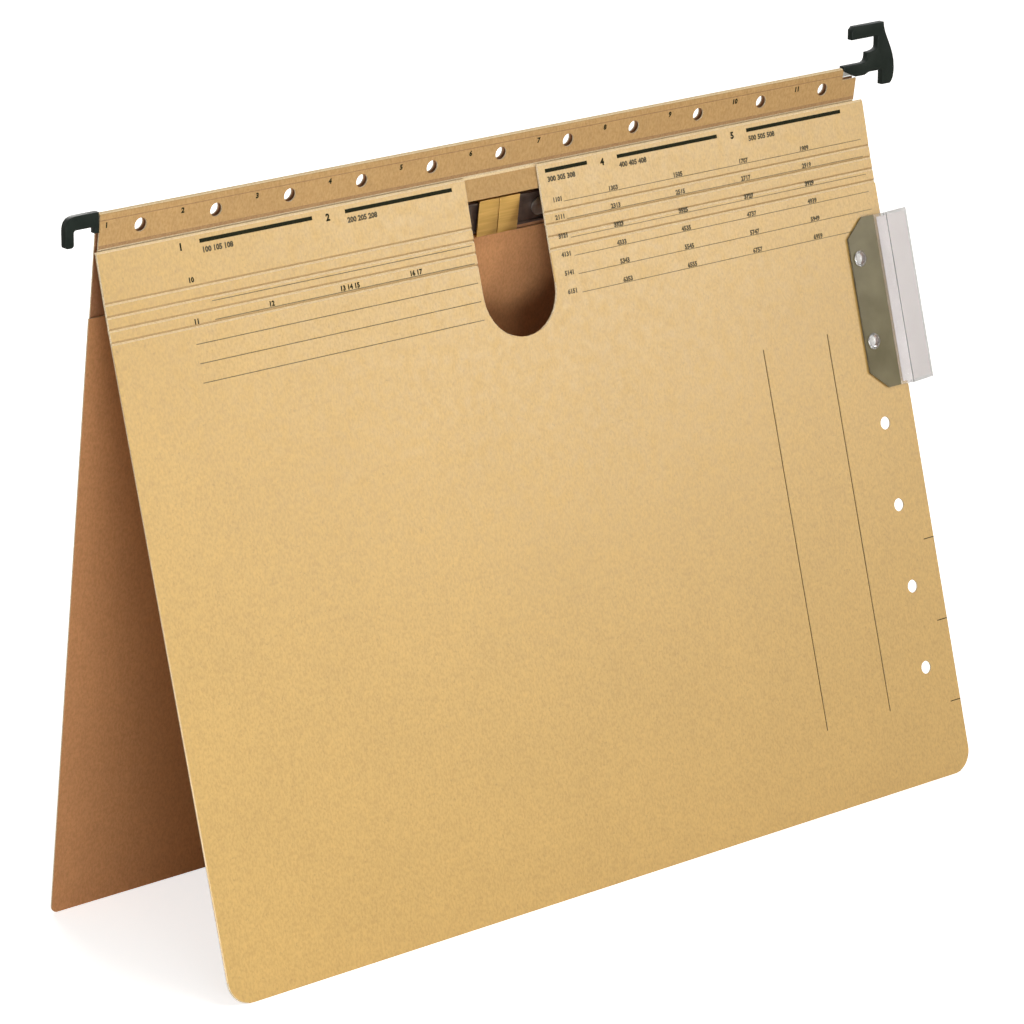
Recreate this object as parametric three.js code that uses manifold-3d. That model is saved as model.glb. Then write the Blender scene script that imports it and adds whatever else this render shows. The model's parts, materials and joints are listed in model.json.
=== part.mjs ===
// Hanging fastener folder of kraft card, standing open like a tent.
// Millimetres, +X along the rail, -Y towards the front cover, +Z up.
import * as THREE from 'three';
import * as BufferGeometryUtils from 'three/addons/utils/BufferGeometryUtils.js';
import Module from 'manifold-3d';

const wasm = await Module();
wasm.setup();

// Card sheets
const cardThickness = 0.5;
const layerGap = 0.3; // left between glued layers, and between pieces that seat on each other
const foldGap = 0.3; // left between the two sheets of a fold
const coverWidth = 321;
const coverShift = 1.2; // the cover's middle, to the right of the middle punched hole
const rearCoverWidth = 317.7;
const spineWidth = 315.8;
const cornerRadius = 8;
const rearCornerRadius = 2.5;

// Lean of each sheet away from the vertical, standing as a tent
const headerLean = THREE.MathUtils.degToRad(14.5);
const leafLean = THREE.MathUtils.degToRad(16);
const rearLean = THREE.MathUtils.degToRad(7.7);

// Spine card, measured down from the top of its fold
const sleeveRadius = 0.95; // middle of the card, round the rail
const frontFlapDepth = 20;
const rearFlapDepth = 44;

// Row of punched holes
const holePitch = 28.5;
const holeDiameter = 4.5;
const spineHoleCount = 11;
const spineHoleDepth = 6;
const edgeHoleCount = 6;
const edgeHoleInset = 13.7; // from the cover's right edge
const firstEdgeHole = 53.1; // below the cover's top edge

// Front cover, measured down from its top edge
const coverTopDepth = 12.4; // below the top of the spine fold, where the card bends forwards
const headerHeight = 16;
const creasePitch = 4;
const creaseStripCount = 3;
const leafHeight = 206.3;
const notchWidth = 30;
const notchDepth = 53.6;
const scoreInsets = [63, 33.4]; // from the cover's right edge
const scoreTop = 75.8;
const scoreLength = 130.8;
const scoreWidth = 0.6;
const scoreDepth = 0.15;

// Rear cover
const rearCoverTopDepth = 34.3; // below the top of the spine fold

// Steel rail inside the spine fold
const railThickness = 0.8;
const railHeight = 2.2;
const railTopDepth = 0.9;
const railGrip = 6.4; // length held inside the left hook
const socketClearance = 0.2;

// Plastic hooks on the rail's ends; depths are measured down from the top of the spine fold
const hookThickness = 2.6;
const hookBevel = 0.25;
const hookTopDepth = -0.5;
const leftFootWidth = 1.6;
const leftFootDepth = 6;
const leftMouthWidth = 7.7;
const leftMouthDepth = 3.9;
const leftTipWidth = 3.2;
const leftTipDepth = 9.2;
const hookBend = 4.4;
const mouthFillet = 1;

const tongueLength = 6.1;
const tongueTipHeight = 1.5;
const tongueHeight = 4.2;
const rightFootEnd = 3.9; // beyond the spine's end
const rightMouthStart = 5.9;
const rightMouthWidth = 6.3;
const rightMouthDepth = 2.9;
const rightTipWidth = 3.8;
const rightTipDepth = 8.2;
const rightBellyWidth = 5.6;
const bellyRise = 1; // the belly turns in this far above the tip
const shoulderStart = 4.9;
const shoulderDepth = -3.9;
const shoulderFillet = 2.4;
const stemStart = 9.6;
const stemTopWidth = 2.7;
const sideMouthFloor = -5.6;
const sideArmDepth = -9.2; // underside of the upper arm
const sideArmHeight = 4.5;
const sideArmReach = 12.3;
const armChamfer = 1.1;

// Clear index tab at the cover's right edge, folded from one strip
const tabTop = 39.4; // below the cover's top edge
const tabLength = 59;
const tabThickness = 0.6;
const tabBaseWidth = 13.4;
const tabEdgeInset = 4.1; // where the wing leaves the base, inside the cover's edge
const tabChamferWidth = 7.8;
const tabChamferHeight = 6.4;
const wingRise = [3.4, -2.9]; // across and forwards, from the base to the ridge
const wingFall = [12.8, 3.9]; // across and backwards, from the ridge to the tip
const wingSpace = 0.9; // between the wing's two walls
const wingReturn = 1.6; // length of the back wall past the ridge
const labelSetback = 1; // from the fold of the base to the label's inner edge
const labelThickness = 0.3;
const labelInset = 1; // short of the tab at each end
const pegDiameter = 3.8;
const pegHeadDiameter = 5.6;
const pegHeadHeight = 0.9;
const backStripWidth = 9;
const backStripOverhang = 8;
const backStripThickness = 0.8;
const backStripCorner = 2;

// Fastener on the rear flap; depths below the centre of the spine fold
const fastenerDepth = 25.5;
const prongSpacing = 80;
const prongLength = 25;
const prongWidth = 6;
const prongThickness = 0.5;
const baseLength = 116;
const baseWidth = 7;
const baseThickness = 0.6;
const baseCorner = 1.75;
const barEndGap = 2.2; // from the bar's ends to the rivets' heads
const barWidth = 10.5;
const barThickness = 0.8;
const barLip = 0.7;
const barLipWidth = 0.8;
const slotLength = 2.4;
const sliderLength = 8.3;
const sliderWall = 0.6;
const sliderLip = 1.6;
const rivetInset = 5.5; // from the base strip's ends
const rivetDiameter = 2.6;
const rivetHeadDiameter = 4.6;
const rivetHeadHeight = 0.5;

const roundSegments = 16;
const foldSegments = 12;
const domeSegments = 4;
const cutterReach = 3; // how far a cutting shape goes past the sheet that it cuts

// Derived places
const coverLeft = coverShift - coverWidth / 2;
const coverRight = coverShift + coverWidth / 2;
const spineHalf = spineWidth / 2;
const sleeveTop = sleeveRadius + cardThickness / 2;
const layerStep = cardThickness + layerGap;
const bendDepth = coverTopDepth - sleeveTop; // below the centre of the fold
const leafTop = headerHeight + creasePitch * creaseStripCount;
const creaseBend = (leafLean - headerLean) / (creaseStripCount + 1);
const edgeHoleX = coverRight - edgeHoleInset;
const tongueEnd = spineHalf - tongueLength;
const rivetSpacing = baseLength - 2 * rivetInset;
const barLength = rivetSpacing - rivetHeadDiameter - 2 * barEndGap;

function depth(below) {
  return sleeveTop - below;
}

// Materials
function material(color, roughness, metalness = 0) {
  return new THREE.MeshStandardMaterial({ color, roughness, metalness });
}
const kraftOuter = material(0xd6b27c, 0.85);
const kraftSpine = material(0xc39b5f, 0.85);
const kraftInner = material(0xb98a5a, 0.88);
const hookPlastic = material(0x232d2a, 0.45);
const clearPlastic = material(0xb8b4a0, 0.2);
const labelPaper = material(0xdcd4d2, 0.8);
const darkSteel = material(0x4b3a30, 0.45, 0.6);
const brassSteel = material(0xd7a85a, 0.35, 0.8);
const bareSteel = material(0x9a9a96, 0.35, 0.9);

// Solids
function toSolid(geometry) {
  const bare = geometry.index ? geometry.toNonIndexed() : geometry.clone();
  bare.deleteAttribute('normal');
  bare.deleteAttribute('uv');
  const merged = BufferGeometryUtils.mergeVertices(bare, 1e-4);
  return new wasm.Manifold(new wasm.Mesh({
    numProp: 3,
    vertProperties: new Float32Array(merged.attributes.position.array),
    triVerts: new Uint32Array(merged.index.array),
  }));
}

function toGeometry(solid) {
  const mesh = solid.getMesh();
  const geometry = new THREE.BufferGeometry();
  geometry.setAttribute('position', new THREE.BufferAttribute(mesh.vertProperties, 3));
  geometry.setIndex(new THREE.BufferAttribute(mesh.triVerts, 1));
  geometry.computeVertexNormals();
  return geometry;
}

function cut(geometry, cutters) {
  let solid = toSolid(geometry);
  for (const cutter of cutters) {
    solid = solid.subtract(toSolid(cutter));
  }
  return toGeometry(solid);
}

function join(geometries) {
  let solid = toSolid(geometries[0]);
  for (const geometry of geometries.slice(1)) {
    solid = solid.add(toSolid(geometry));
  }
  return toGeometry(solid);
}

function box(from, to) {
  const low = new THREE.Vector3(...from);
  const high = new THREE.Vector3(...to);
  const size = high.clone().sub(low);
  const middle = high.clone().add(low).multiplyScalar(0.5);
  return new THREE.BoxGeometry(size.x, size.y, size.z).translate(middle.x, middle.y, middle.z);
}

// A round bar along Y
function barAlongY(diameter, from, to, x, z) {
  const bar = new THREE.CylinderGeometry(diameter / 2, diameter / 2, to - from, roundSegments);
  return bar.translate(x, (from + to) / 2, z);
}

// A flat outline in X and Z, given a thickness in Y about y
function plate(shape, thickness, y = 0, options = {}) {
  const geometry = new THREE.ExtrudeGeometry(shape, {
    depth: thickness, bevelEnabled: false, curveSegments: roundSegments / 2, ...options,
  });
  const upright = new THREE.Matrix4().makeBasis(
    new THREE.Vector3(1, 0, 0), new THREE.Vector3(0, 0, 1), new THREE.Vector3(0, -1, 0));
  return geometry.translate(0, 0, -thickness / 2).applyMatrix4(upright).translate(0, y, 0);
}

// A section in Y and Z, drawn out along X about the middle
function drawnAlongX(shape, length) {
  const geometry = new THREE.ExtrudeGeometry(shape, { depth: length, bevelEnabled: false });
  const lengthwise = new THREE.Matrix4().makeBasis(
    new THREE.Vector3(0, 1, 0), new THREE.Vector3(0, 0, 1), new THREE.Vector3(1, 0, 0));
  return geometry.translate(0, 0, -length / 2).applyMatrix4(lengthwise);
}

// A section in X and Y, drawn down from z = top
function drawnDown(shape, top, length) {
  const geometry = new THREE.ExtrudeGeometry(shape, { depth: length, bevelEnabled: false });
  return geometry.translate(0, 0, top - length);
}

// A path moved sideways, with mitred corners
function offsetPath(points, distance) {
  return points.map((point, i) => {
    const before = points[Math.max(i - 1, 0)];
    const after = points[Math.min(i + 1, points.length - 1)];
    const arriving = point.clone().sub(before).normalize();
    const leaving = after.clone().sub(point).normalize();
    if (i === 0) {
      arriving.copy(leaving);
    }
    if (i === points.length - 1) {
      leaving.copy(arriving);
    }
    const normal = new THREE.Vector2(-arriving.y - leaving.y, arriving.x + leaving.x).normalize();
    const mitre = distance / (-normal.x * arriving.y + normal.y * arriving.x);
    return point.clone().addScaledVector(normal, mitre);
  });
}

// The section of a bent sheet whose middle follows a path
function bentSheet(points, thickness) {
  const left = offsetPath(points, thickness / 2);
  const right = offsetPath(points, -thickness / 2);
  return new THREE.Shape([...right, ...left.reverse()]);
}

// The profile of a domed head, from its rim to its crown
function dome(radius, height, seat) {
  const points = [];
  for (let i = 0; i <= domeSegments; i += 1) {
    const rise = Math.sin((Math.PI / 2) * (i / domeSegments));
    points.push(new THREE.Vector2(radius * Math.sqrt(1 - rise * rise), seat + height * rise));
  }
  return points;
}

// A pin along Y with a domed head at each end, its shank running from y = front to y = back
function headedPin(shankDiameter, headDiameter, headHeight, front, back) {
  const profile = [
    ...dome(headDiameter / 2, -headHeight, front).reverse(),
    new THREE.Vector2(shankDiameter / 2, front),
    new THREE.Vector2(shankDiameter / 2, back),
    ...dome(headDiameter / 2, headHeight, back),
  ];
  return new THREE.LatheGeometry(profile, roundSegments);
}

function mesh(name, geometry, finish) {
  const part = new THREE.Mesh(geometry, finish);
  part.name = name;
  return part;
}

// A frame that hangs from a fold, turned so that its sheet leans
function foldFrame(y, z, turn) {
  const frame = new THREE.Group();
  frame.position.set(0, y, z);
  frame.rotation.x = turn;
  return frame;
}

// Spine card: round the rail, down to the cover's top in front and inside the rear cover behind
function spineHoles() {
  const holes = [];
  for (let i = 0; i < spineHoleCount; i += 1) {
    const x = (i - (spineHoleCount - 1) / 2) * holePitch;
    holes.push(barAlongY(holeDiameter, -cutterReach, cutterReach, x, depth(spineHoleDepth)));
  }
  return holes;
}

// The right hook's tongue sits in a step in the card's top right corner
function tongueStep() {
  const floor = depth(hookTopDepth) - tongueHeight - layerGap;
  return box(
    [tongueEnd - layerGap, -cutterReach, floor],
    [spineHalf + cutterReach, cutterReach, sleeveTop + cutterReach]);
}

function spineCard() {
  const path = [new THREE.Vector2(-sleeveRadius, foldGap / 2 - bendDepth)];
  for (let i = 0; i <= foldSegments; i += 1) {
    const angle = Math.PI * (1 - i / foldSegments);
    path.push(new THREE.Vector2(Math.cos(angle), Math.sin(angle)).multiplyScalar(sleeveRadius));
  }
  path.push(new THREE.Vector2(sleeveRadius, sleeveTop - rearFlapDepth));
  const sheet = drawnAlongX(bentSheet(path, cardThickness), spineWidth);
  const holes = [...spineHoles(), ...rivetHoles(sleeveRadius)];
  return cut(sheet, [...holes, tongueStep()]);
}

// Front flap of the spine card, glued behind the cover's top
function spineFrontFlap() {
  const outline = sheetOutline(-spineHalf, spineHalf, foldGap / 2, frontFlapDepth - coverTopDepth);
  return plate(outline, cardThickness);
}

// A rectangle of card from z = -top to z = -bottom, its lower corners round if wanted
function sheetOutline(left, right, top, bottom, radius = 0) {
  const shape = new THREE.Shape();
  shape.moveTo(left, -top);
  shape.lineTo(left, -bottom + radius);
  if (radius > 0) {
    shape.absarc(left + radius, -bottom + radius, radius, Math.PI, 1.5 * Math.PI, false);
    shape.absarc(right - radius, -bottom + radius, radius, 1.5 * Math.PI, 2 * Math.PI, false);
  } else {
    shape.lineTo(left, -bottom);
    shape.lineTo(right, -bottom);
  }
  shape.lineTo(right, -top);
  shape.closePath();
  return shape;
}

// A strip of plate from z = -top to z = -bottom with four round corners
function stripOutline(left, right, top, bottom, radius) {
  const shape = new THREE.Shape();
  shape.absarc(left + radius, -bottom + radius, radius, Math.PI, 1.5 * Math.PI);
  shape.absarc(right - radius, -bottom + radius, radius, 1.5 * Math.PI, 2 * Math.PI);
  shape.absarc(right - radius, -top - radius, radius, 0, 0.5 * Math.PI);
  shape.absarc(left + radius, -top - radius, radius, 0.5 * Math.PI, Math.PI);
  return shape;
}

// The stretches of the front cover beside the thumb notch
const notchSides = [
  ['left', coverLeft, -notchWidth / 2],
  ['right', notchWidth / 2, coverRight],
];

function leafOutline() {
  const radius = notchWidth / 2;
  const notchCentre = leafTop - notchDepth + radius;
  const cornerZ = cornerRadius - leafHeight;
  const shape = new THREE.Shape();
  shape.moveTo(-radius, -foldGap / 2);
  shape.lineTo(coverLeft, -foldGap / 2);
  shape.absarc(coverLeft + cornerRadius, cornerZ, cornerRadius, Math.PI, 1.5 * Math.PI);
  shape.absarc(coverRight - cornerRadius, cornerZ, cornerRadius, 1.5 * Math.PI, 2 * Math.PI);
  shape.lineTo(coverRight, -foldGap / 2);
  shape.lineTo(radius, -foldGap / 2);
  shape.absarc(0, notchCentre, radius, 0, Math.PI, true);
  for (let i = 0; i < edgeHoleCount; i += 1) {
    const hole = new THREE.Path();
    hole.absarc(edgeHoleX, edgeHoleZ(i), holeDiameter / 2, 0, 2 * Math.PI, true);
    shape.holes.push(hole);
  }
  return shape;
}

function edgeHoleZ(i) {
  return leafTop - firstEdgeHole - i * holePitch;
}

function frontLeaf() {
  const face = -cardThickness / 2;
  const scores = scoreInsets.map((inset) => {
    const x = coverRight - inset;
    const top = leafTop - scoreTop;
    return box(
      [x - scoreWidth / 2, face - cutterReach, top - scoreLength],
      [x + scoreWidth / 2, face + scoreDepth, top]);
  });
  return cut(plate(leafOutline(), cardThickness), scores);
}

// Rail and hooks, in the frame of the spine fold
const railLeft = -spineHalf - railGrip;
const railRight = spineHalf + rightFootEnd - socketClearance;

function railSection(clearance) {
  const halfWidth = railThickness / 2 + clearance;
  const top = depth(railTopDepth) + clearance;
  const bottom = depth(railTopDepth + railHeight) - clearance;
  const shape = new THREE.Shape();
  shape.moveTo(-halfWidth, bottom + halfWidth / 2);
  shape.quadraticCurveTo(-halfWidth, bottom, 0, bottom);
  shape.quadraticCurveTo(halfWidth, bottom, halfWidth, bottom + halfWidth / 2);
  shape.lineTo(halfWidth, top - halfWidth / 2);
  shape.quadraticCurveTo(halfWidth, top, 0, top);
  shape.quadraticCurveTo(-halfWidth, top, -halfWidth, top - halfWidth / 2);
  shape.closePath();
  return shape;
}

function railBar(clearance) {
  const length = railRight - railLeft + 2 * clearance;
  return drawnAlongX(railSection(clearance), length).translate((railLeft + railRight) / 2, 0, 0);
}

function hookPlate(shape) {
  const bevel = {
    bevelEnabled: true, bevelSize: hookBevel, bevelOffset: -hookBevel, bevelThickness: hookBevel,
    bevelSegments: 1,
  };
  const body = plate(shape, hookThickness - 2 * hookBevel, 0, bevel);
  return cut(body, [railBar(socketClearance)]);
}

function leftHook() {
  const start = -spineHalf - layerGap;
  const footEnd = start - leftFootWidth;
  const mouthEnd = footEnd - leftMouthWidth;
  const outer = mouthEnd - leftTipWidth;
  const top = depth(hookTopDepth);
  const roof = depth(leftMouthDepth);
  const tip = depth(leftTipDepth);
  const tipRound = leftTipWidth / 3;
  const shape = new THREE.Shape();
  shape.moveTo(start, top);
  shape.lineTo(outer + hookBend, top);
  shape.quadraticCurveTo(outer, top, outer, top - hookBend);
  shape.lineTo(outer, tip + tipRound);
  shape.quadraticCurveTo(outer, tip, outer + tipRound, tip);
  shape.lineTo(mouthEnd - tipRound, tip);
  shape.quadraticCurveTo(mouthEnd, tip, mouthEnd, tip + tipRound);
  shape.lineTo(mouthEnd, roof - mouthFillet);
  shape.quadraticCurveTo(mouthEnd, roof, mouthEnd + mouthFillet, roof);
  shape.lineTo(footEnd, roof);
  shape.lineTo(footEnd, depth(leftFootDepth));
  shape.lineTo(start, depth(leftFootDepth));
  shape.closePath();
  return hookPlate(shape);
}

function rightHook() {
  const x = (beyond) => spineHalf + beyond;
  const top = depth(hookTopDepth);
  const roof = depth(rightMouthDepth);
  const tip = depth(rightTipDepth);
  const mouthEnd = rightMouthStart + rightMouthWidth;
  const armTop = depth(sideArmDepth - sideArmHeight);
  const armUnder = depth(sideArmDepth);
  const armLeft = stemStart - sideArmReach;
  const stemRight = stemStart + stemTopWidth;
  const belly = mouthEnd + rightBellyWidth;
  const foot = top - tongueHeight;
  const shape = new THREE.Shape();
  shape.moveTo(x(-tongueLength), top);
  shape.lineTo(x(shoulderStart - shoulderFillet), top);
  shape.quadraticCurveTo(x(shoulderStart), top, x(shoulderStart), top + shoulderFillet);
  shape.lineTo(x(shoulderStart), depth(shoulderDepth));
  shape.quadraticCurveTo(x(stemStart), depth(shoulderDepth), x(stemStart), depth(sideMouthFloor));
  shape.lineTo(x(stemStart), armUnder);
  shape.lineTo(x(armLeft), armUnder);
  shape.lineTo(x(armLeft), armTop - armChamfer);
  shape.lineTo(x(armLeft + armChamfer), armTop);
  shape.lineTo(x(stemRight), armTop);
  shape.bezierCurveTo(x(stemRight), armUnder, x(belly), depth(shoulderDepth), x(belly), roof);
  shape.quadraticCurveTo(x(belly), tip + bellyRise, x(mouthEnd + rightTipWidth), tip);
  shape.lineTo(x(mouthEnd), tip);
  shape.lineTo(x(mouthEnd), roof);
  shape.lineTo(x(rightMouthStart), roof);
  shape.lineTo(x(rightFootEnd), foot);
  shape.lineTo(x(-layerGap), foot);
  shape.lineTo(x(-tongueLength), top - tongueTipHeight);
  shape.closePath();
  return hookPlate(shape);
}

// Index tab, in the frame of the cover leaf
const tabFace = -(cardThickness / 2 + layerGap + tabThickness / 2);
const wingStart = new THREE.Vector2(coverRight - tabEdgeInset, tabFace);
const wingRidge = wingStart.clone().add(new THREE.Vector2(...wingRise));
const wingTip = wingRidge.clone().add(new THREE.Vector2(...wingFall));
const tabZ = leafTop - tabTop;
const tabLeft = wingStart.x - tabBaseWidth;

function tabPegHoles(y) {
  return [0, 1].map((i) => barAlongY(
    holeDiameter, y - cutterReach, y + cutterReach, edgeHoleX, edgeHoleZ(i)));
}

function tabHolder() {
  const spacing = wingSpace + tabThickness;
  const back = offsetPath([wingStart, wingRidge, wingTip], spacing);
  const along = wingTip.clone().sub(wingRidge).normalize();
  const turn = wingTip.clone().add(back[2]).multiplyScalar(0.5).addScaledVector(along, spacing / 2);
  const returning = back[0].clone().sub(back[1]).normalize();
  const path = [
    new THREE.Vector2(tabLeft, tabFace), wingStart, wingRidge, wingTip, turn, back[2], back[1],
    back[1].clone().addScaledVector(returning, wingReturn),
  ];
  const holder = drawnDown(bentSheet(path, tabThickness), tabZ, tabLength);
  const corner = (z, towards) => {
    const shape = new THREE.Shape();
    shape.moveTo(tabLeft - cutterReach, z + towards * cutterReach);
    shape.lineTo(tabLeft - cutterReach, z - towards * tabChamferHeight);
    shape.lineTo(tabLeft, z - towards * tabChamferHeight);
    shape.lineTo(tabLeft + tabChamferWidth, z);
    shape.lineTo(tabLeft + tabChamferWidth, z + towards * cutterReach);
    shape.closePath();
    return plate(shape, 2 * cutterReach, tabFace);
  };
  const chamfers = [corner(tabZ, 1), corner(tabZ - tabLength, -1)];
  return cut(holder, [...chamfers, ...tabPegHoles(tabFace)]);
}

function tabLabel() {
  const middle = (wingSpace + tabThickness) / 2;
  const path = offsetPath([wingStart, wingRidge, wingTip], middle);
  const rising = path[1].clone().sub(path[0]).normalize();
  const falling = path[2].clone().sub(path[1]).normalize();
  path[0].addScaledVector(rising, labelSetback);
  path[2].addScaledVector(falling, -labelThickness);
  return drawnDown(bentSheet(path, labelThickness), tabZ - labelInset, tabLength - 2 * labelInset);
}

// The pegs go through the tab, the leaf and a strip behind it, and are headed on both faces
const tabFront = tabFace - tabThickness / 2;
const stripFront = cardThickness / 2 + layerGap;
const stripBack = stripFront + backStripThickness;

function tabPeg(z) {
  const peg = headedPin(
    pegDiameter, pegHeadDiameter, pegHeadHeight, tabFront - layerGap, stripBack + layerGap);
  return peg.translate(edgeHoleX, 0, z);
}

function tabBackStrip() {
  const top = -edgeHoleZ(0) - backStripOverhang;
  const bottom = -edgeHoleZ(1) + backStripOverhang;
  const left = edgeHoleX - backStripWidth / 2;
  const middle = (stripFront + stripBack) / 2;
  const outline = stripOutline(left, left + backStripWidth, top, bottom, backStripCorner);
  return cut(plate(outline, backStripThickness, middle), tabPegHoles(middle));
}

// Fastener, in the frame of the rear flap
const flapInside = sleeveRadius - cardThickness / 2;
const flapOutside = sleeveRadius + cardThickness / 2;
const baseBack = flapInside - layerGap;
const baseFront = baseBack - baseThickness;
const barBack = baseFront - layerGap;
const barFront = barBack - barThickness;
const prongBack = barFront - layerGap;
const prongFront = prongBack - prongThickness;
const sliderInside = Math.min(prongFront, barFront - barLip) - layerGap;
const sliderFront = sliderInside - sliderWall;
const lipBack = barBack + layerGap + sliderWall;

function prongSide(side) {
  const bendX = (side * prongSpacing) / 2;
  const tipX = bendX - side * prongLength;
  const half = prongWidth / 2;
  const root = (baseBack + baseFront) / 2;
  const stub = box(
    [bendX - prongThickness / 2, prongFront, -fastenerDepth - half],
    [bendX + prongThickness / 2, root, -fastenerDepth + half]);
  const shape = new THREE.Shape();
  shape.moveTo(bendX + (side * prongThickness) / 2, -fastenerDepth - half);
  shape.lineTo(bendX + (side * prongThickness) / 2, -fastenerDepth + half);
  shape.lineTo(tipX + side * half, -fastenerDepth + half);
  shape.absarc(tipX + side * half, -fastenerDepth, half, Math.PI / 2, 1.5 * Math.PI, side < 0);
  shape.closePath();
  return join([stub, plate(shape, prongThickness, (prongBack + prongFront) / 2)]);
}

function prongStrip() {
  const half = baseWidth / 2;
  const outline = stripOutline(
    -baseLength / 2, baseLength / 2, fastenerDepth - half, fastenerDepth + half, baseCorner);
  const middle = (baseBack + baseFront) / 2;
  const strip = join([plate(outline, baseThickness, middle), prongSide(-1), prongSide(1)]);
  return cut(strip, rivetHoles(middle));
}

function rivetHoles(y) {
  const places = [-rivetSpacing / 2, rivetSpacing / 2];
  return places.map((x) => barAlongY(
    rivetDiameter + 2 * layerGap, y - cutterReach, y + cutterReach, x, -fastenerDepth));
}

function compressorBar() {
  const half = barWidth / 2;
  const section = new THREE.Shape();
  section.moveTo(barBack, -half);
  section.lineTo(barBack, half);
  section.lineTo(barFront - barLip, half);
  section.lineTo(barFront - barLip, half - barLipWidth);
  section.lineTo(barFront, half - barLipWidth);
  section.lineTo(barFront, -half + barLipWidth);
  section.lineTo(barFront - barLip, -half + barLipWidth);
  section.lineTo(barFront - barLip, -half);
  section.closePath();
  const bar = drawnAlongX(section, barLength).translate(0, 0, -fastenerDepth);
  const reach = prongWidth / 2 + layerGap;
  const slots = [-prongSpacing / 2, prongSpacing / 2].map((x) => box(
    [x - slotLength / 2, barFront - cutterReach, -fastenerDepth - reach],
    [x + slotLength / 2, barBack + cutterReach, -fastenerDepth + reach]));
  return cut(bar, slots);
}

// A slider wraps round the bar and hooks behind its two edges
function slider(side) {
  const inner = barWidth / 2 + layerGap;
  const outer = inner + sliderWall;
  const mouth = inner - sliderLip;
  const path = [
    [sliderFront, -outer], [lipBack, -outer], [lipBack, -mouth], [barBack + layerGap, -mouth],
    [barBack + layerGap, -inner], [sliderInside, -inner], [sliderInside, inner],
    [barBack + layerGap, inner], [barBack + layerGap, mouth], [lipBack, mouth], [lipBack, outer],
    [sliderFront, outer],
  ];
  const section = new THREE.Shape(path.map(([y, z]) => new THREE.Vector2(y, z)));
  const x = side * (sliderLength / 2 + layerGap / 2);
  return drawnAlongX(section, sliderLength).translate(x, 0, -fastenerDepth);
}

function fastenerRivet(x) {
  const rivet = headedPin(
    rivetDiameter, rivetHeadDiameter, rivetHeadHeight, baseFront - layerGap, flapOutside + layerGap);
  return rivet.translate(x, 0, -fastenerDepth);
}

// Rear side of the spine, leaning the other way: the two sheets of the strip lie along it
const spine = new THREE.Group();
const rearFrame = foldFrame(0, 0, rearLean);
spine.add(rearFrame);
rearFrame.add(mesh('spine_card', spineCard(), kraftSpine));

// Front chain: spine flap, header, crease strips and leaf, each hung from the one before
const flapFrame = foldFrame(-sleeveRadius, -bendDepth, -rearLean - headerLean);
rearFrame.add(flapFrame);
flapFrame.add(mesh('spine_front_flap', spineFrontFlap(), kraftSpine));

const headerFrame = foldFrame(-layerStep, 0, 0);
flapFrame.add(headerFrame);
for (const [side, left, right] of notchSides) {
  const header = plate(sheetOutline(left, right, 0, headerHeight - foldGap / 2), cardThickness);
  headerFrame.add(mesh(`header_${side}`, header, kraftOuter));
}

let hangingFrame = headerFrame;
let hangingDepth = headerHeight;
for (let i = 1; i <= creaseStripCount; i += 1) {
  const frame = foldFrame(0, -hangingDepth, -creaseBend);
  hangingFrame.add(frame);
  for (const [side, left, right] of notchSides) {
    const outline = sheetOutline(left, right, foldGap / 2, creasePitch - foldGap / 2);
    frame.add(mesh(`crease_strip_${i}_${side}`, plate(outline, cardThickness), kraftOuter));
  }
  hangingFrame = frame;
  hangingDepth = creasePitch;
}

const leafFrame = foldFrame(0, -hangingDepth, -creaseBend);
hangingFrame.add(leafFrame);
leafFrame.add(mesh('front_cover', frontLeaf(), kraftOuter));
leafFrame.add(mesh('tab_holder', tabHolder(), clearPlastic));
leafFrame.add(mesh('tab_label', tabLabel(), labelPaper));
leafFrame.add(mesh('tab_back_strip', tabBackStrip(), clearPlastic));
leafFrame.add(mesh('upper_tab_peg', tabPeg(edgeHoleZ(0)), clearPlastic));
leafFrame.add(mesh('lower_tab_peg', tabPeg(edgeHoleZ(1)), clearPlastic));

// The fold stands as high above the floor as the front chain reaches down
spine.updateMatrixWorld(true);
const foldHeight = -new THREE.Box3().setFromObject(spine, true).min.z;

// Rear cover, ending on the same floor, and the fastener
const rearFace = sleeveRadius - layerStep;
const rearReach = (foldHeight + (rearFace - cardThickness / 2) * Math.sin(rearLean)) / Math.cos(rearLean);
const rearTop = rearCoverTopDepth - sleeveTop;
const rearOutline = sheetOutline(
  -rearCoverWidth / 2, rearCoverWidth / 2, rearTop, rearReach, rearCornerRadius);
rearFrame.add(mesh('rear_cover', plate(rearOutline, cardThickness, rearFace), kraftInner));
rearFrame.add(mesh('prong_strip', prongStrip(), bareSteel));
rearFrame.add(mesh('compressor_bar', compressorBar(), darkSteel));
rearFrame.add(mesh('left_slider', slider(-1), brassSteel));
rearFrame.add(mesh('right_slider', slider(1), brassSteel));
rearFrame.add(mesh('left_rivet', fastenerRivet(-rivetSpacing / 2), bareSteel));
rearFrame.add(mesh('right_rivet', fastenerRivet(rivetSpacing / 2), bareSteel));

spine.add(mesh('rail', railBar(0), bareSteel));
spine.add(mesh('left_hook', leftHook(), hookPlastic));
spine.add(mesh('right_hook', rightHook(), hookPlastic));
spine.position.z = foldHeight;

// Centred over the floor that it stands on
const folder = new THREE.Group();
folder.add(spine);
folder.updateMatrixWorld(true);
const middle = new THREE.Box3().setFromObject(folder, true).getCenter(new THREE.Vector3());
spine.position.x = -middle.x;
spine.position.y = -middle.y;

export default folder;
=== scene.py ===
import json
from math import cos, radians, sin

import bmesh
import bpy
from mathutils import Matrix, Vector


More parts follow.
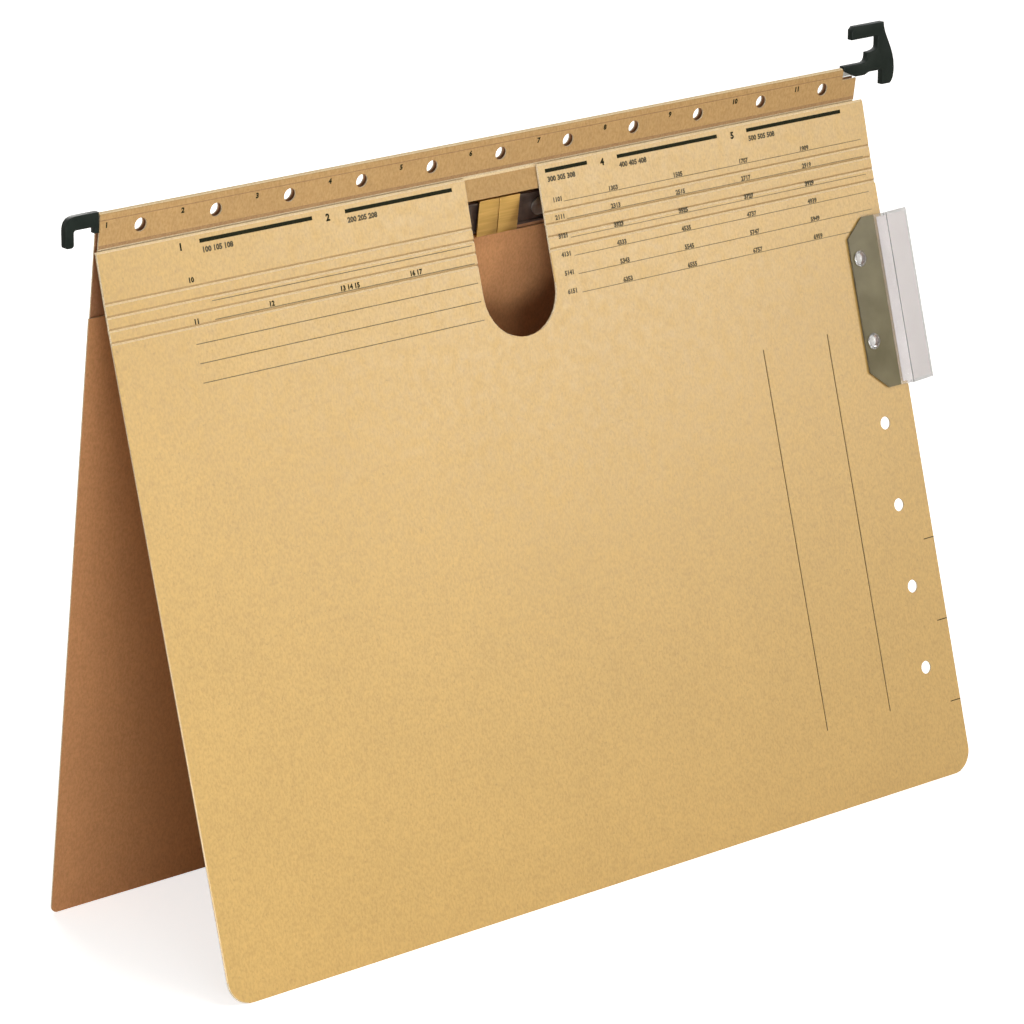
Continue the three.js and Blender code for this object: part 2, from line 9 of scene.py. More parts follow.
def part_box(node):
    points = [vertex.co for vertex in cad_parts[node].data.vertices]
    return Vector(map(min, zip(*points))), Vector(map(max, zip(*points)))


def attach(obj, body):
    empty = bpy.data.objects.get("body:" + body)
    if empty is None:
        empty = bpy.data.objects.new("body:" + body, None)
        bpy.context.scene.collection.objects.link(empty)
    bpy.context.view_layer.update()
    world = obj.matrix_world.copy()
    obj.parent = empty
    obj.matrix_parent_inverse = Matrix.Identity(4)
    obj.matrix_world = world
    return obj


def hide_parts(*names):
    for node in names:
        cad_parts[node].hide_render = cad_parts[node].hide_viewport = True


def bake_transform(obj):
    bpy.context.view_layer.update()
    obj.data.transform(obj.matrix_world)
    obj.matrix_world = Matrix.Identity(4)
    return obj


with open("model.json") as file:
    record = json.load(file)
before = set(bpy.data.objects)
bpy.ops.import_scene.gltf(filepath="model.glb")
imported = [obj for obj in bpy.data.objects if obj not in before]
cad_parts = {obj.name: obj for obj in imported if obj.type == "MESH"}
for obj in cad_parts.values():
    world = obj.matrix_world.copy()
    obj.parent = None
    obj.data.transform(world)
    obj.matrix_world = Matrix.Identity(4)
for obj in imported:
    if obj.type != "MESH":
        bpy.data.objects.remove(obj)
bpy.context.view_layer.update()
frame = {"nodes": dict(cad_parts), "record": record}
scene = bpy.context.scene


# Rail: a flat bar of bare drawn steel that runs through the whole top fold
# and ends inside the two hooks.
class Paint:
    def __init__(self, name, color, roughness, **sockets):
        self.material = bpy.data.materials.new(name)
        self.material.use_nodes = True
        self.nodes = self.material.node_tree.nodes
        self.links = self.material.node_tree.links
        self.surface = self.nodes["Principled BSDF"]
        self.surface.inputs["Base Color"].default_value = (*color, 1)
        self.surface.inputs["Roughness"].default_value = roughness
        for socket, value in sockets.items():
            self.surface.inputs[socket.replace("_", " ")].default_value = value
        self.place = self.nodes.new("ShaderNodeTexCoord").outputs["Object"]

    def noise(self, scale, detail=2, stretch=(1, 1, 1)):
        mapping = self.nodes.new("ShaderNodeMapping")
        mapping.inputs["Scale"].default_value = stretch
        self.links.new(self.place, mapping.inputs["Vector"])
        noise = self.nodes.new("ShaderNodeTexNoise")
        noise.inputs["Scale"].default_value = scale
        noise.inputs["Detail"].default_value = detail
        self.links.new(mapping.outputs["Vector"], noise.inputs["Vector"])
        return noise.outputs["Fac"]

    def spread(self, value, low, high, source=(0.3, 0.7)):
        spread = self.nodes.new("ShaderNodeMapRange")
        spread.inputs["From Min"].default_value = source[0]
        spread.inputs["From Max"].default_value = source[1]
        spread.inputs["To Min"].default_value = low
        spread.inputs["To Max"].default_value = high
        self.links.new(value, spread.inputs["Value"])
        return spread.outputs["Result"]

    def tint(self, value, first, second, source=(0.3, 0.7)):
        mix = self.nodes.new("ShaderNodeMix")
        mix.data_type = "RGBA"
        mix.inputs["A"].default_value = (*first, 1)
        mix.inputs["B"].default_value = (*second, 1)
        self.links.new(self.spread(value, 0, 1, source), mix.inputs["Factor"])
        return mix.outputs["Result"]

    def multiply(self, color, value):
        mix = self.nodes.new("ShaderNodeMix")
        mix.data_type = "RGBA"
        mix.blend_type = "MULTIPLY"
        mix.inputs["Factor"].default_value = 1
        self.links.new(color, mix.inputs["A"])
        self.links.new(value, mix.inputs["B"])
        return mix.outputs["Result"]

    def color(self, value):
        self.links.new(value, self.surface.inputs["Base Color"])

    def roughness(self, value, low, high):
        self.links.new(self.spread(value, low, high), self.surface.inputs["Roughness"])

    def bump(self, value, strength, distance):
        bump = self.nodes.new("ShaderNodeBump")
        bump.inputs["Strength"].default_value = strength
        bump.inputs["Distance"].default_value = distance
        self.links.new(value, bump.inputs["Height"])
        self.links.new(bump.outputs["Normal"], self.surface.inputs["Normal"])


def clothe(node, paint):
    mesh = frame["nodes"][node].data
    mesh.materials.clear()
    mesh.materials.append(paint.material)


bare_steel = Paint("bare_steel", (0.5, 0.5, 0.48), 0.32, Metallic=1)
brushing = bare_steel.noise(900, detail=3, stretch=(0.04, 1, 1))
bare_steel.color(bare_steel.tint(brushing, (0.42, 0.42, 0.40), (0.58, 0.57, 0.54)))
bare_steel.roughness(brushing, low=0.26, high=0.42)
bare_steel.bump(brushing, strength=0.2, distance=0.00003)
clothe("rail", bare_steel)


# Hooks: moulded in dark green plastic with softened edges and a fine matt grain,
# pushed onto the rail's ends.
def from_node(node):
    bm = bmesh.new()
    bm.from_mesh(frame["nodes"][node].data)
    bmesh.ops.remove_doubles(bm, verts=bm.verts, dist=1e-6)
    return bm


def new_piece(name, bm, *paints, replaces, slot, body=None):
    bmesh.ops.recalc_face_normals(bm, faces=bm.faces)
    mesh = bpy.data.meshes.new(name)
    bm.to_mesh(mesh)
    bm.free()
    for paint in paints:
        mesh.materials.append(paint.material)
    piece = bpy.data.objects.new(name, mesh)
    scene.collection.objects.link(piece)
    if body:
        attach(piece, body)
    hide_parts(*replaces)
    return piece


def softened(node, body, paint, slot, width, crease=35):
    """A node with its edges rounded to this width, where they turn by more than the crease angle."""
    bm = from_node(node)
    bmesh.ops.dissolve_limit(bm, angle_limit=radians(0.5), verts=bm.verts, edges=bm.edges)
    sharp = [edge for edge in bm.edges if edge.calc_face_angle(0) > radians(crease)]
    for face in bm.faces:
        face.smooth = any(radians(1) < edge.calc_face_angle(0) <= radians(crease) for edge in face.edges)
    rounded = bmesh.ops.bevel(bm, geom=sharp, offset=width, segments=2, profile=0.5, affect="EDGES",
                              clamp_overlap=True, material=-1)
    for face in rounded["faces"]:
        face.smooth = True
    piece = new_piece(f"{node}_body", bm, paint, replaces=(node,), slot=slot, body=body)
    piece.data.set_sharp_from_angle(angle=radians(50))


hook_plastic = Paint("hook_plastic", (0.008, 0.013, 0.010), 0.42, Specular_IOR_Level=0.15)
grain = hook_plastic.noise(2600)
flow = hook_plastic.noise(180, detail=3)
hook_plastic.color(hook_plastic.tint(flow, (0.006, 0.011, 0.008), (0.012, 0.018, 0.014)))
hook_plastic.roughness(grain, low=0.3, high=0.48)
hook_plastic.bump(grain, strength=0.25, distance=0.00004)
for hook in ("left_hook", "right_hook"):
    softened(hook, "spine_and_rear", hook_plastic, "hook_plastic", width=0.00016, crease=20)

# Spine card: one strip of thick kraft card, folded over the rail and punched through both sheets.
# A light scoring runs under its top, with painted shade on its down-facing flank, and the punched places are
# numbered.
CARD = 0.5
SPINE_PLACE, SPINE_LEAN = (0.016058, 0.236471), 7.7
SPINE_FRONT = -0.95
SPINE_FACE = SPINE_FRONT - CARD / 2
FRONT_SIDE = -0.3
FOLD_START, FOLD_TOP = -0.2, 0.8
SCORING, SCORING_DEPTH = (1, 1.35, 1.7), 0.1
STRIP_CUT = 9.2
HOLES, PITCH, FIRST_NUMBER = 11, 28.5, -155.9
INK_RAISED = 0.02
EDGE, INK, GROOVE_SHADE, HIGHLIGHT, INSIDE_SHADE = 1, 2, 3, 4, 5
joints = {joint["name"]: joint for joint in frame["record"]["behaviour"]["joints"]}
MIDDLE = joints["spine_fold"]["pos_m"][0]


def leaning(place, degrees):
    """A card sheet's own millimetres in the object's metres: x along the rail, y through the card, z up."""
    return (Matrix.Translation((MIDDLE, *place[-2:])) @ Matrix.Rotation(radians(degrees), 4, "X")
            @ Matrix.Scale(0.001, 4))


def across(corner):
    return (corner[0] - MIDDLE) * 1000


def upward(sheet):
    return (sheet.to_3x3() @ Vector((0, 0, 1))).normalized()


def kraft(name, light, dark, flecks=0.1, gloss=0.3, roughness=0.8):
    paint = Paint(name, light, roughness, Specular_IOR_Level=gloss)
    fibres = paint.noise(1500, detail=3, stretch=(1, 1, 0.55))
    mottle = paint.noise(330, detail=4)
    clouds = paint.noise(28, detail=3)
    color = paint.tint(fibres, dark, light, source=(0.34, 0.62))
    color = paint.multiply(color, paint.spread(mottle, 0.96, 1.03))
    color = paint.multiply(color, paint.spread(clouds, 0.97, 1.02))
    specks = paint.spread(paint.noise(1100), 1 - flecks, 1, source=(0.28, 0.36))
    paint.color(paint.multiply(color, specks))
    paint.roughness(mottle, low=roughness - 0.04, high=roughness + 0.04)
    paint.bump(fibres, strength=0.25, distance=0.00006)
    return paint


def mottled(name, color, dark, light, roughness, scale, detail=3, **sockets):
    paint = Paint(name, color, roughness, **sockets)
    paint.color(paint.tint(paint.noise(scale, detail), dark, light))
    return paint


def light_edges(bm, sheet, lit=HIGHLIGHT):
    """Cut edges get a pale painted highlight, and a crease gets painted shade where it faces down and the
    lit paint where it faces up, a painted highlight by default.
    """
    bmesh.ops.recalc_face_normals(bm, faces=bm.faces)
    to_sheet = sheet.to_3x3().inverted()
    for face in bm.faces:
        normal = (to_sheet @ face.normal).normalized()
        cut, sloping = abs(normal.y) < 0.75, abs(normal.z) > 0.2
        if cut:
            face.material_index = EDGE
        elif sloping and normal.y < 0:
            # Up-facing flanks get the lit paint, a painted highlight; down-facing flanks get painted shade.
            face.material_index = lit if normal.z > 0 else GROOVE_SHADE


def bent_card(bm, rows, left, right):
    """Card drawn along the rail from its end: each row is a sheet, y of its middle, how far down, groove."""
    front, rear = [], []
    for sheet, middle, down, groove in rows:
        front.append(sheet @ Vector((left, middle - CARD / 2 + groove, -down)))
        rear.append(sheet @ Vector((left, middle + CARD / 2 + 0.6 * groove, -down)))
    end = bm.faces.new([bm.verts.new(point) for point in front + rear[::-1]])
    drawn = bmesh.ops.extrude_face_region(bm, geom=[end], use_keep_orig=True)
    points = [item for item in drawn["geom"] if isinstance(item, bmesh.types.BMVert)]
    bmesh.ops.translate(bm, verts=points, vec=((right - left) * 0.001, 0, 0))


def ink_bar(bm, sheet, left, right, top, bottom, tone=INK, face=-CARD / 2):
    size = Matrix.Diagonal((right - left, 2 * INK_RAISED, bottom - top, 1))
    place = Matrix.Translation(((left + right) / 2, face, -(top + bottom) / 2))
    made = bmesh.ops.create_cube(bm, size=1, matrix=sheet @ place @ size)
    for inked in {item for vert in made["verts"] for item in vert.link_faces}:
        inked.material_index = tone


def ink_digits(bm, sheet, text, left, baseline, height, tone=INK, face=-CARD / 2):
    curve = bpy.data.curves.new("digits", "FONT")
    curve.body = text
    curve.size = height * 1.38
    curve.extrude = INK_RAISED
    curve.offset = 0.07 * height
    curve.resolution_u = 2
    writing = bpy.data.objects.new("digits", curve)
    scene.collection.objects.link(writing)
    bpy.context.view_layer.update()
    letters = writing.evaluated_get(bpy.context.evaluated_depsgraph_get()).to_mesh()
    upright = Matrix.Translation((left, face, -baseline)) @ Matrix.Rotation(radians(90), 4, "X")
    letters.transform(sheet @ upright)
    card = set(bm.faces)
    bm.from_mesh(letters)
    for inked in set(bm.faces) - card:
        inked.material_index = tone
    bpy.data.objects.remove(writing)
    bpy.data.curves.remove(curve)


spine_kraft = kraft("spine_kraft", (0.54, 0.335, 0.143), (0.465, 0.275, 0.107))
# Cut edges: a pale cream paint that is a painted highlight along the cards' cut edges.
cut_edge_highlight = mottled("cut_edge_highlight", (0.72, 0.60, 0.42), (0.56, 0.42, 0.25), (0.80, 0.68, 0.48),
                   roughness=0.8, scale=2200, detail=2)
ink = mottled("ink", (0.012, 0.014, 0.006), (0.009, 0.011, 0.004), (0.028, 0.028, 0.014),
              roughness=0.9, scale=3000, detail=2, Specular_IOR_Level=0.1)
# Dark brown for the down-facing flanks of the strip's scoring and of the flap's bend: painted shade, which
# makes the dark line above the cover's top edge.
spine_crease_shade = mottled("painted_spine_shade", (0.36, 0.2, 0.085), (0.30, 0.16, 0.07), (0.42, 0.25, 0.11),
                  roughness=0.85, scale=1500)
# Pale kraft for up-facing crease flanks, the sloped top of the cover's head and the top of the fold over the
# rail: a painted highlight.
painted_highlight = mottled("painted_highlight_card", (0.88, 0.70, 0.42), (0.78, 0.58, 0.33), (0.93, 0.76, 0.49),
               roughness=0.85, scale=1500)
# Darker, redder kraft for the inner side of the strip's rear sheet: painted shade.
inside_shade_kraft = kraft("inside_shade_kraft", (0.44, 0.205, 0.1), (0.375, 0.172, 0.078))
spine_finish = (spine_kraft, cut_edge_highlight, ink, spine_crease_shade, painted_highlight, inside_shade_kraft)

spine = leaning(SPINE_PLACE, SPINE_LEAN)
to_spine = spine.inverted()
bm = from_node("spine_card")


def cut_front(bm, down, clear=False):
    verts = {vert for vert in bm.verts if (to_spine @ vert.co).y < FRONT_SIDE}
    edges = {edge for edge in bm.edges if set(edge.verts) <= verts}
    faces = {face for face in bm.faces if set(face.verts) <= verts}
    bmesh.ops.bisect_plane(bm, geom=[*verts, *edges, *faces], dist=1e-7, clear_outer=clear,
                           plane_co=spine @ Vector((0, 0, -down)), plane_no=-upward(spine))


cut_front(bm, STRIP_CUT, clear=True)
bmesh.ops.holes_fill(bm, edges=[edge for edge in bm.edges if edge.is_boundary], sides=0)
for down in SCORING:
    cut_front(bm, down)
for vert in bm.verts:
    place = to_spine @ vert.co
    if place.y < SPINE_FACE + 0.1 and abs(place.z + SCORING[1]) < 0.02:
        vert.co = spine @ (place + Vector((0, SCORING_DEPTH, 0)))
# The scoring's down-facing flank gets painted shade; its up-facing flank stays plain card.
light_edges(bm, spine, lit=0)
for face in bm.faces:
    place = to_spine @ face.calc_center_median()
    cut_end, inner_side = abs(face.normal.x) >= 0.5, 0.3 < place.y < 1
    # The top of the fold over the rail gets a painted highlight, the rest of the fold plain card.
    if place.z > FOLD_START and not cut_end:
        face.material_index = HIGHLIGHT if place.z > FOLD_TOP else 0
    # The inner side of the rear sheet gets painted shade.
    elif face.material_index == 0 and inner_side:
        face.material_index = INSIDE_SHADE
for number in range(HOLES):
    ink_digits(bm, spine, str(number + 1), FIRST_NUMBER + PITCH * number, baseline=3.6, height=1.7,
               face=SPINE_FACE)
new_piece("spine_sheet", bm, *spine_finish, replaces=("spine_card",), slot="spine_kraft",
          body="spine_and_rear")

# Spine flap: the strip's front sheet, bent forward below the rail, goes on as a flap of the same card
# that is glued behind the cover.
COVER_LEAN = -14.5
FLAP_FOLD, FLAP_LENGTH = 11.2, 7.6
HALF_BEND = 0.6
flap = leaning(joints["spine_fold"]["pos_m"], COVER_LEAN)
strip_left, strip_right = (across(corner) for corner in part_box("spine_card"))
bm = bmesh.new()
bent_card(bm, [(spine, SPINE_FRONT, STRIP_CUT, 0), (spine, SPINE_FRONT, FLAP_FOLD - 0.8, 0),
               (spine, SPINE_FRONT, FLAP_FOLD, 0.35), (flap, 0, HALF_BEND, 0), (flap, 0, FLAP_LENGTH, 0)],
          strip_left, strip_right)
# The flap's bend gets painted shade on its down-facing flank, a dark line just above the cover's top edge.
light_edges(bm, flap)
spine_flap = new_piece("spine_flap", bm, *spine_finish, replaces=("spine_front_flap",), slot="spine_kraft")
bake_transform(spine_flap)

# Cover head: the top of the front cover on both sides of the thumb notch, one sheet of lighter kraft
# card, glued to the flap. Four scored creases let the cover grow with its filling, and a form is
# printed across them.
GLUE = 0.3
SHEET_TOPS, CREASE_TURN = (0, 16, 20, 24, 28), 0.375
CREASE_GROOVE = 0.4
THIN, FIGURES = 5, 6
folds = ("crease_1_fold", "crease_2_fold", "crease_3_fold", "cover_fold")
sheets = [flap @ Matrix.Translation((0, -CARD - GLUE, 0))]
for number, fold in enumerate(folds, 1):
    sheets.append(leaning(joints[fold]["pos_m"], COVER_LEAN - CREASE_TURN * number))
halves = [[across(corner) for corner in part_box(node)] for node in ("header_left", "header_right")]

cover_kraft = kraft("cover_kraft", (0.605, 0.378, 0.108), (0.52, 0.313, 0.084), flecks=0.14,
                    gloss=0.8, roughness=0.36)
# Darker brown for the down-facing flanks of the cover's creases: painted shade.
cover_crease_shade = mottled("creased_card", (0.46, 0.295, 0.13), (0.38, 0.235, 0.095), (0.50, 0.33, 0.15),
                  roughness=0.8, scale=1500)
thin_ink = mottled("thin_ink", (0.16, 0.125, 0.06), (0.10, 0.08, 0.035), (0.24, 0.19, 0.095),
                   roughness=0.8, scale=3000, detail=2)
figure_ink = mottled("figure_ink", (0.07, 0.055, 0.025), (0.045, 0.035, 0.015), (0.115, 0.09, 0.045),
                     roughness=0.8, scale=3000, detail=2)
cover_finish = (cover_kraft, cut_edge_highlight, ink, cover_crease_shade, painted_highlight, thin_ink, figure_ink)


def creased_card(bm, crease, top, bottom):
    """Both halves of the card between two heights, bent at the crease that lies between them."""
    down = SHEET_TOPS[crease]
    rows = [(crease - 1, top, 0), (crease - 1, down - HALF_BEND, 0), (crease, down, CREASE_GROOVE),
            (crease, down + HALF_BEND, 0), (crease, bottom, 0)]
    # The head's top is sloped back over 0.7 mm, and light_edges gives that slope a painted highlight.
    if top == 0:
        rows = [(0, 0, CREASE_GROOVE), (0, 0.7, 0)] + rows[1:]
    rows = [(sheets[sheet], 0, below - SHEET_TOPS[sheet], groove) for sheet, below, groove in rows]
    for half in halves:
        bent_card(bm, rows, *half)


def rounded_sides(bm, sheet, kept=()):
    """Rounds the front edges of the card's outline, but not where its x lies in a kept range."""
    bmesh.ops.recalc_face_normals(bm, faces=bm.faces)
    to_sheet = sheet.inverted()
    turned = to_sheet.to_3x3()
    edges = []
    for edge in bm.edges:
        normals = [(turned @ face.normal).normalized() for face in edge.link_faces]
        facing = sorted(normal.y for normal in normals)
        beside_front = facing[0] < -0.8 and abs(facing[-1]) < 0.3
        places = [to_sheet @ vert.co for vert in edge.verts]
        plain = not any(low < place.x < high for place in places for low, high in kept)
        upper_end = any(abs(normal.z) > 0.9 for normal in normals) and places[0].z > -100
        if beside_front and plain and not upper_end:
            edges.append(edge)
    bmesh.ops.bevel(bm, geom=edges, offset=0.0003, segments=1, profile=0.5, affect="EDGES", material=-1)


def fold_blend(piece):
    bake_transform(piece)


def sheet_at(down):
    number = max(index for index, top in enumerate(SHEET_TOPS) if top <= down)
    return sheets[number], down - SHEET_TOPS[number]


def rule(bm, left, right, down, thickness=0.27, tone=THIN):
    sheet, below = sheet_at(down)
    ink_bar(bm, sheet, left, right, below - thickness / 2, below + thickness / 2, tone)


def label(bm, text, left, down, height=1.5, tone=FIGURES):
    sheet, below = sheet_at(down)
    ink_digits(bm, sheet, text, left, below, height, tone)


BARS = ((-121, -77.3), (-64.3, -20.9), (18.2, 36.2), (49.2, 93.6), (106.9, 150.5))
BAR_DOWN, BAR_THICKNESS, CAPTION_DOWN = 2.65, 1.25, 6.3
HEADINGS, HEADING_DOWN = ((1, -129), (2, -72), (4, 41.9), (5, 99.6)), 4.4
ENTRIES = (("10", -127.5, 14.6), ("11", -128, 27.4), ("12", -99, 26.8), ("13 14 15", -71, 26.8),
           ("16 17", -43, 26.8))
LEFT_RULES = ((-120, 21.4), (-120, 27.2), (-128.5, 33.5), (-128.5, 39.5), (-128.5, 45.5))
LEFT_RULES_END = -16.5
RIGHT_RULES = (13.4, 19.2, 25.4, 31.4, 37.5, 43.6)
RIGHT_RULES_START, RIGHT_RULES_END = 24, 158
COLUMNS = (19.5, 43.5, 72, 101.5, 129.5)


def form(bm, top, bottom):
    if top == 0:
        for number, (left, right) in enumerate(BARS, 1):
            rule(bm, left, right, BAR_DOWN, BAR_THICKNESS, tone=INK)
            label(bm, f"{number}00 {number}05 {number}08", left + 0.5, CAPTION_DOWN, height=1.7)
        for number, left in HEADINGS:
            label(bm, str(number), left, HEADING_DOWN, height=2.2, tone=INK)
    for left, down in LEFT_RULES:
        if top <= down < bottom:
            rule(bm, left, LEFT_RULES_END, down)
    for text, left, down in ENTRIES:
        if top <= down < bottom:
            label(bm, text, left, down, height=1.6, tone=INK)
    for number, down in enumerate(RIGHT_RULES):
        if top <= down < bottom:
            rule(bm, RIGHT_RULES_START + number * 0.3, RIGHT_RULES_END, down, thickness=0.22)
            for column, left in enumerate(COLUMNS):
                label(bm, str(1101 + 1010 * number + 202 * column), left, down - 0.3)


heads = (
    (0, 18, "front_head", "crease_strip_1", ("header_left", "header_right")),
    (18, 22, "crease_strip_1", "crease_strip_2", ("crease_strip_1_left", "crease_strip_1_right")),
    (22, 26, "crease_strip_2", "crease_strip_3", ("crease_strip_2_left", "crease_strip_2_right")),
)
for crease, (top, bottom, first, second, nodes) in enumerate(heads, 1):
    bm = bmesh.new()
    creased_card(bm, crease, top, bottom)
    rounded_sides(bm, sheets[crease])
    # Each crease gets painted shade on its down-facing flank and a painted highlight on its up-facing flank.
    light_edges(bm, sheets[crease])
    form(bm, top, bottom)
    piece = new_piece(f"cover_head_{crease}", bm, *cover_finish, replaces=nodes, slot="cover_kraft")
    fold_blend(piece)

# Cover leaf: the same sheet below the last crease, cut with the rest of the notch, round lower corners
# and six edge holes, with two scored lines for folding and tick marks at the edge.
LEAF_TOP, LEAF_CUT, FORM_END = 26, 1, 60
SCORED, SCORED_WIDTH, SCORED_FLOOR = (98.7, 128.3), 0.26, -0.1
SCORED_FROM, SCORED_TO = 75.8, 206.6
TICKS, TICK_START, TICK_END = (152.4, 181, 209.5), 156.7, 161.5
BESIDE_SCORED, BESIDE_HOLES = (97, 130), (142, 154)
leaf = sheets[4]
bm = from_node("front_cover")
bmesh.ops.bisect_plane(bm, geom=[*bm.verts, *bm.edges, *bm.faces], dist=1e-7, clear_outer=True,
                       plane_co=leaf @ Vector((0, 0, -LEAF_CUT)), plane_no=upward(leaf))
bmesh.ops.holes_fill(bm, edges=[edge for edge in bm.edges if edge.is_boundary], sides=0)
creased_card(bm, 4, LEAF_TOP, SHEET_TOPS[4] + LEAF_CUT)
rounded_sides(bm, leaf, kept=(BESIDE_SCORED, BESIDE_HOLES))
# The last crease gets painted shade on its down-facing flank and a painted highlight on its up-facing flank.
light_edges(bm, leaf)
form(bm, LEAF_TOP, FORM_END)
for down in TICKS:
    rule(bm, TICK_START, TICK_END, down, thickness=0.3, tone=INK)
for middle in SCORED:
    ink_bar(bm, leaf, middle - SCORED_WIDTH / 2, middle + SCORED_WIDTH / 2,
            SCORED_FROM - SHEET_TOPS[4], SCORED_TO - SHEET_TOPS[4], face=SCORED_FLOOR)
cover_leaf = new_piece("cover_leaf", bm, *cover_finish, slot="cover_kraft",
                       replaces=("crease_strip_3_left", "crease_strip_3_right", "front_cover"))
fold_blend(cover_leaf)

# Rear cover: a plain leaf of the same kraft card, darker and redder on its inside with painted shade,
# glued with its head inside the strip's rear sheet.
REAR_INSIDE_SHADE = 2
rear_inside_shade = kraft("rear_inside_shade", (0.61, 0.288, 0.122), (0.52, 0.242, 0.096))
bm = from_node("rear_cover")
light_edges(bm, spine)
# Faces turned to the inside get the painted shade.
for face in bm.faces:
    if (to_spine.to_3x3() @ face.normal).normalized().y < -0.9:
        face.material_index = REAR_INSIDE_SHADE
new_piece("rear_leaf", bm, cover_kraft, cut_edge_highlight, rear_inside_shade, replaces=("rear_cover",), slot="cover_kraft",
          body="spine_and_rear")

# Fastener: a steel prong strip riveted to the strip's rear sheet, a dark lacquered compressor bar
# under its folded prongs, and two brass plated sliders that go over their ends to lock them.
SHEET_METAL_EDGE = 0.00008
dark_steel = Paint("dark_steel", (0.07, 0.042, 0.03), 0.4, Metallic=0.3, Coat_Weight=0.3)
lacquer = dark_steel.noise(400, detail=3)
dark_steel.color(dark_steel.tint(lacquer, (0.055, 0.032, 0.024), (0.095, 0.06, 0.045)))
dark_steel.roughness(dark_steel.noise(900), low=0.32, high=0.5)
brass_plate = Paint("brass_plate", (0.68, 0.39, 0.10), 0.3, Metallic=1)
drawing = brass_plate.noise(1200, detail=3, stretch=(0.05, 1, 1))
brass_plate.color(brass_plate.tint(drawing, (0.62, 0.36, 0.10), (0.80, 0.50, 0.16)))
brass_plate.roughness(drawing, low=0.28, high=0.42)
softened("prong_strip", "spine_and_rear", bare_steel, "bare_steel", SHEET_METAL_EDGE)
softened("compressor_bar", "spine_and_rear", dark_steel, "dark_steel", SHEET_METAL_EDGE)
for rivet in ("left_rivet", "right_rivet"):
    softened(rivet, "spine_and_rear", bare_steel, "bare_steel", SHEET_METAL_EDGE)
for slider in ("left_slider", "right_slider"):
    softened(slider, slider, brass_plate, "brass_plate", SHEET_METAL_EDGE)


# Index tab: a clear plastic strip bent to a wing that holds a card label, and pinned through
# two edge holes by pegs with a strip behind the card. Card shows through its flat base.
def plastic(name, first, second, transmission, gloss=0.5):
    paint = Paint(name, first, 0.16, Transmission_Weight=transmission, IOR=1.49, Specular_IOR_Level=gloss)
    haze = paint.noise(90, detail=3)
    paint.color(paint.tint(haze, first, second))
    paint.roughness(haze, low=0.12, high=0.24)
    return paint


WING_LEFT = 157.5
TAB_BASE = 1
clear_plastic = plastic("clear_plastic", (0.95, 0.94, 0.94), (0.99, 0.98, 0.98), 0.92)
tab_plastic = plastic("tab_plastic", (0.14, 0.115, 0.05), (0.21, 0.175, 0.085), 0.2, gloss=0.25)
label_paper = mottled("label_paper", (0.92, 0.86, 0.85), (0.88, 0.82, 0.81), (0.94, 0.88, 0.87),
                      roughness=0.75, scale=700)
clothe("tab_label", label_paper)
for node in ("tab_back_strip", "upper_tab_peg", "lower_tab_peg"):
    softened(node, "cover", clear_plastic, "clear_plastic", width=0.0001)
bm = from_node("tab_holder")
to_leaf = leaf.inverted()
for face in bm.faces:
    flat = abs((to_leaf.to_3x3() @ face.normal).normalized().y) > 0.9
    if flat and (to_leaf @ face.calc_center_median()).x < WING_LEFT:
        face.material_index = TAB_BASE
new_piece("tab_holder_body", bm, clear_plastic, tab_plastic, replaces=("tab_holder",), slot="clear_plastic",
          body="cover")

# Studio: a white floor that keeps the folder's shadow, in front of a white background.
# Four soft lamps from the front and the left and one from behind light it evenly.
FLOOR_GLOW, FILL_LIGHT = 0.7, 0.28
bpy.ops.mesh.primitive_plane_add(size=8)
floor = bpy.context.object
floor.name = "floor"
floor_paint = Paint("floor", (0.8, 0.8, 0.8), 0.95)
camera_glow = floor_paint.nodes.new("ShaderNodeEmission")
seen = floor_paint.nodes.new("ShaderNodeLightPath")
glow = floor_paint.nodes.new("ShaderNodeMath")
glow.operation = "MULTIPLY"
glow.inputs[1].default_value = FLOOR_GLOW
added = floor_paint.nodes.new("ShaderNodeAddShader")
floor_paint.links.new(seen.outputs["Is Camera Ray"], glow.inputs[0])
floor_paint.links.new(glow.outputs[0], camera_glow.inputs["Strength"])
floor_paint.links.new(floor_paint.surface.outputs[0], added.inputs[0])
floor_paint.links.new(camera_glow.outputs[0], added.inputs[1])
floor_paint.links.new(added.outputs[0], floor_paint.nodes["Material Output"].inputs["Surface"])
floor.data.materials.append(floor_paint.material)

world = bpy.data.worlds.new("studio")
scene.world = world
world.use_nodes = True
nodes = world.node_tree.nodes
links = world.node_tree.links


def either(first, second):
    larger = nodes.new("ShaderNodeMath")
    larger.operation = "MAXIMUM"
    links.new(first, larger.inputs[0])
    links.new(second, larger.inputs[1])
    return larger.outputs[0]


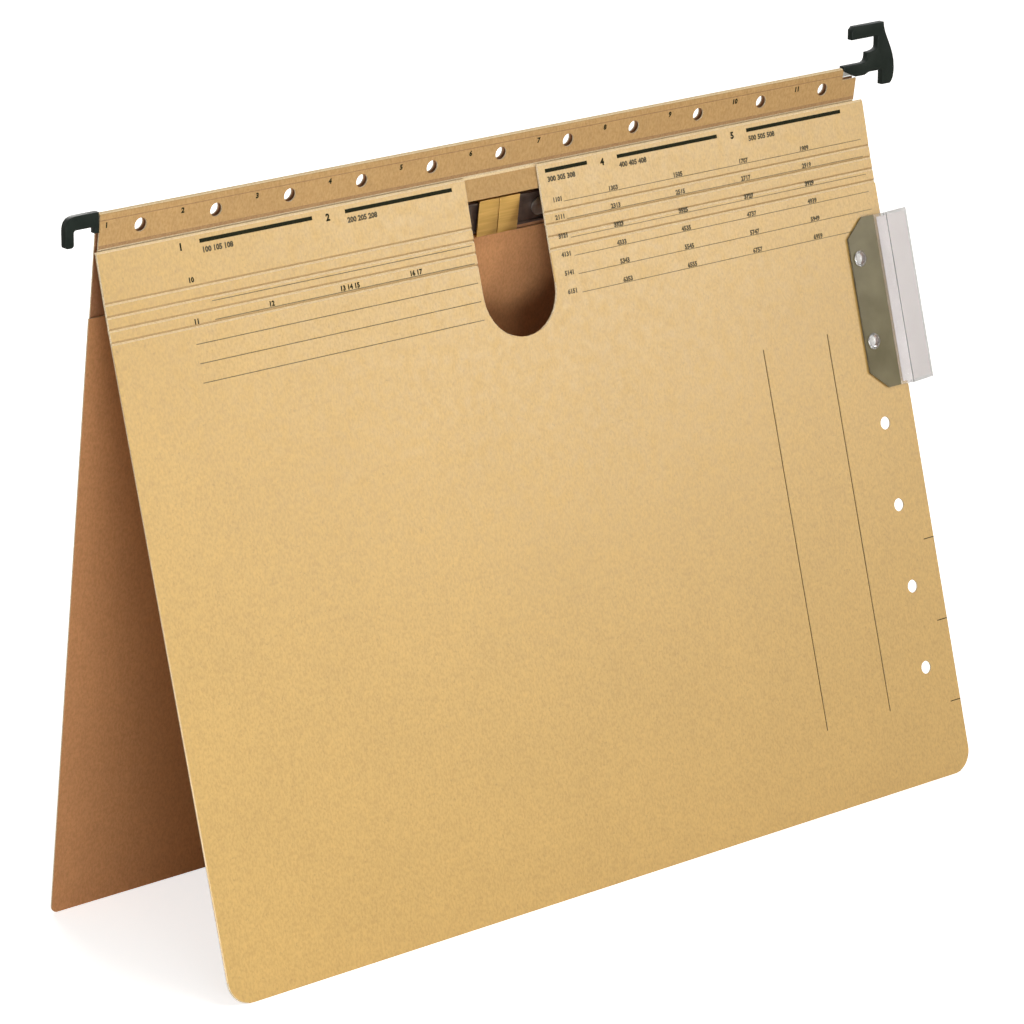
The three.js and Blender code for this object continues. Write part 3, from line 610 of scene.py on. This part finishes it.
ray = nodes.new("ShaderNodeLightPath").outputs
clear = either(either(ray["Is Camera Ray"], ray["Is Glossy Ray"]), ray["Is Transmission Ray"])
white = nodes.new("ShaderNodeBackground")
white.inputs["Color"].default_value = (1, 1, 1, 1)
dim = nodes["Background"]
dim.inputs["Color"].default_value = (1, 0.95, 0.88, 1)
dim.inputs["Strength"].default_value = FILL_LIGHT
mix = nodes.new("ShaderNodeMixShader")
links.new(clear, mix.inputs[0])
links.new(dim.outputs[0], mix.inputs[1])
links.new(white.outputs[0], mix.inputs[2])
links.new(mix.outputs[0], nodes["World Output"].inputs["Surface"])


def soft_light(name, place, target, size, power, color):
    lamp = bpy.data.lights.new(name, "AREA")
    lamp.shape = "DISK"
    lamp.size = size
    lamp.energy = power
    lamp.color = color
    holder = bpy.data.objects.new(name, lamp)
    scene.collection.objects.link(holder)
    holder.location = place
    holder.rotation_euler = (Vector(target) - Vector(place)).to_track_quat("-Z", "Y").to_euler()


soft_light("key", (0.8, -0.96, 0.48), (0, 0, 0.15), size=0.4, power=3.35, color=(1, 0.965, 0.86))
soft_light("top", (0.1, -0.8, 1.3), (0, 0, 0.12), size=0.6, power=4.5, color=(1, 0.975, 0.93))
soft_light("low", (-0.3, -0.52, 0.04), (-0.12, -0.03, 0.02), size=0.3, power=2.15, color=(0.91, 0.96, 1))
soft_light("side", (-1.1, -0.36, 0.12), (-0.1, 0.02, 0.08), size=0.5, power=2.5, color=(1, 0.93, 0.84))
soft_light("back", (0.4, 1.3, 0.8), (0, 0.05, 0.12), size=0.8, power=9, color=(1, 0.98, 0.95))

# Camera: at the photograph's viewing angle, fitted to the holes, corners and folds in it,
# with a small shift for the photograph's framing.
azimuth = radians(-40.268)
height = radians(17.923)
roll = radians(0.389)
back = Vector((sin(azimuth) * cos(height), -cos(azimuth) * cos(height), sin(height)))
level = Vector((cos(azimuth), sin(azimuth), 0))
rise = back.cross(level)
right = cos(roll) * level + sin(roll) * rise
up = -sin(roll) * level + cos(roll) * rise
camera_data = bpy.data.cameras.new("camera")
camera = bpy.data.objects.new("camera", camera_data)
scene.collection.objects.link(camera)
turn = Matrix((right, up, back)).transposed().to_4x4()
camera.matrix_world = Matrix.Translation((-0.97274, -1.12932, 0.60443)) @ turn
camera_data.lens = 169.28
camera_data.sensor_width = 36
camera_data.shift_x = 0.01404
camera_data.shift_y = -0.02408
scene.camera = camera
scene.view_settings.view_transform = "Standard"
